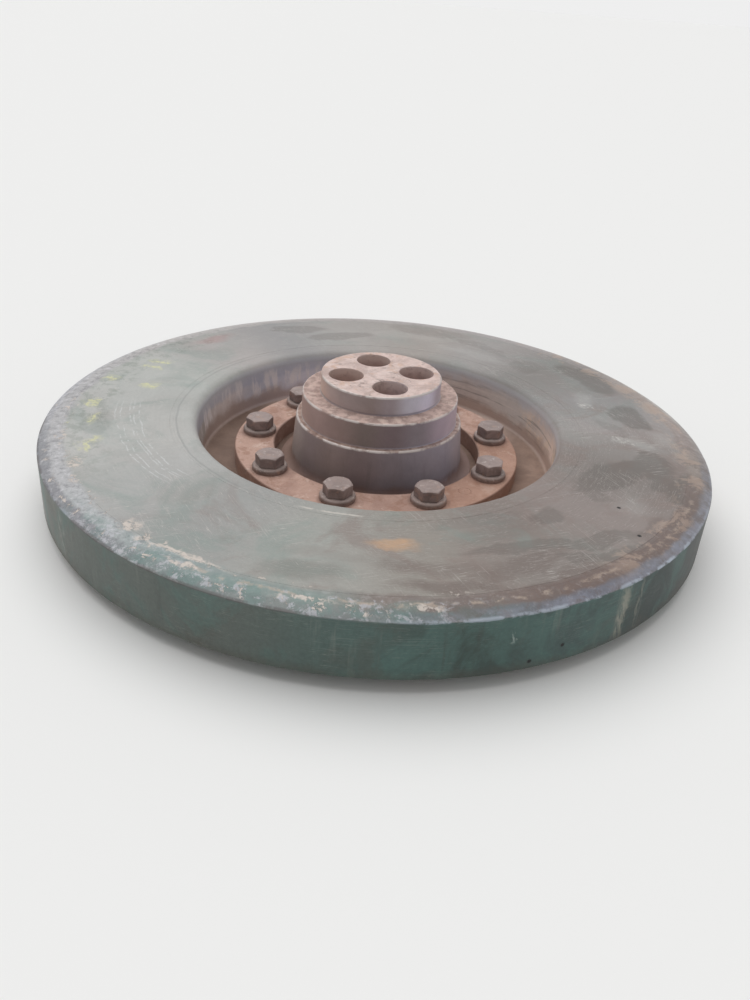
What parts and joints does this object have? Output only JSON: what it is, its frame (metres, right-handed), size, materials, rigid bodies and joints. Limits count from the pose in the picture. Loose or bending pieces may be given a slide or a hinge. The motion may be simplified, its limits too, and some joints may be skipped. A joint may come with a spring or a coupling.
{
  "type": "viscous torsional vibration damper",
  "caption": "Heavy annular vibration damper wheel: a sealed painted casing with a loose inertia ring inside, clamped by bolts to a stepped stub hub with round sockets in its end.",
  "frame": {"origin": "on the axis, in the plane of the hub's rear mounting face, which is the lowest plane of the object", "axes": "+Z along the axis to the end of the stub; +X to the viewer's right when the wheel is seen from its front (-Y) side"},
  "size_m": [0.94, 0.94, 0.174],
  "materials": {
    "casing_paint": "satin",
    "cover_paint": "satin",
    "weld_paint": "satin",
    "ring_steel": "satin",
    "bearing_bronze": "satin",
    "hub_steel": "satin",
    "rusty_steel": "matte",
    "bolt_steel": "matte",
    "washer_steel": "matte",
    "pin_steel": "matte",
    "plug_steel": "satin",
    "seal_copper": "satin"
  },
  "bodies": {
    "wheel": {"casing": "casing_paint", "cover_plate": "cover_paint", "cover_weld_inner": "weld_paint", "cover_weld_outer": "weld_paint", "hub": "hub_steel", "clamp_ring": "rusty_steel", "flange_bolt_1": "bolt_steel", "flange_bolt_2": "bolt_steel", "flange_bolt_3": "bolt_steel", "flange_bolt_4": "bolt_steel", "flange_bolt_5": "bolt_steel", "flange_bolt_6": "bolt_steel", "flange_bolt_7": "bolt_steel", "flange_bolt_8": "bolt_steel", "flange_bolt_9": "bolt_steel", "bolt_washer_1": "washer_steel", "bolt_washer_2": "washer_steel", "bolt_washer_3": "washer_steel", "bolt_washer_4": "washer_steel", "bolt_washer_5": "washer_steel", "bolt_washer_6": "washer_steel", "bolt_washer_7": "washer_steel", "bolt_washer_8": "washer_steel", "bolt_washer_9": "washer_steel", "dowel_pin_1": "pin_steel", "dowel_pin_2": "pin_steel", "fill_plug_1": "plug_steel", "fill_plug_2": "plug_steel", "plug_seal_1": "seal_copper", "plug_seal_2": "seal_copper"},
    "floating_ring": {"inertia_ring": "ring_steel", "bearing_bush": "bearing_bronze", "lower_thrust_ring": "bearing_bronze", "upper_thrust_ring": "bearing_bronze"}
  },
  "joints": [
    {"name": "inertia_ring_spin", "type": "hinge", "parent": "wheel", "child": "floating_ring", "pos_m": [0, 0, 0.0585], "axis": [0, 0, 1], "continuous": true}
  ]
}
